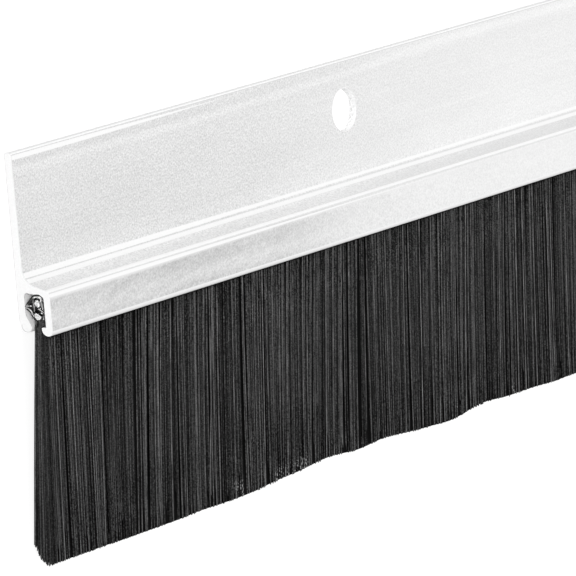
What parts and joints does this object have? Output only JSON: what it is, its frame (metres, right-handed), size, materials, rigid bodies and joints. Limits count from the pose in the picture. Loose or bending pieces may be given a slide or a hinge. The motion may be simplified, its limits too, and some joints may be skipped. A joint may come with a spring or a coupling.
{
  "type": "brush seal strip",
  "caption": "Straight door brush seal: an aluminium holder with a drilled screw flange and a lipped channel that grips a dense curtain of black bristles.",
  "frame": {"origin": "middle of the row of screw holes, on the holder's flat back face", "axes": "+X along the strip, +Y from the bristle tips towards the flange's free edge, +Z out of the front face, so that the strip lies on its back"},
  "size_m": [0.9204, 0.0572, 0.0054],
  "materials": {
    "satin_aluminium": "satin, pale, with fine drawn lines along the length",
    "galvanised_steel": "thin galvanised sheet, crimped",
    "wire_steel": "drawn wire, bright where it is cut",
    "black_bristle": "fine black filaments with a soft sheen along their length"
  },
  "bodies": {
    "root": {"holder": "satin_aluminium", "backing_strip": "galvanised_steel", "core_wire": "wire_steel", "bristles": "black_bristle"}
  },
  "joints": []
}
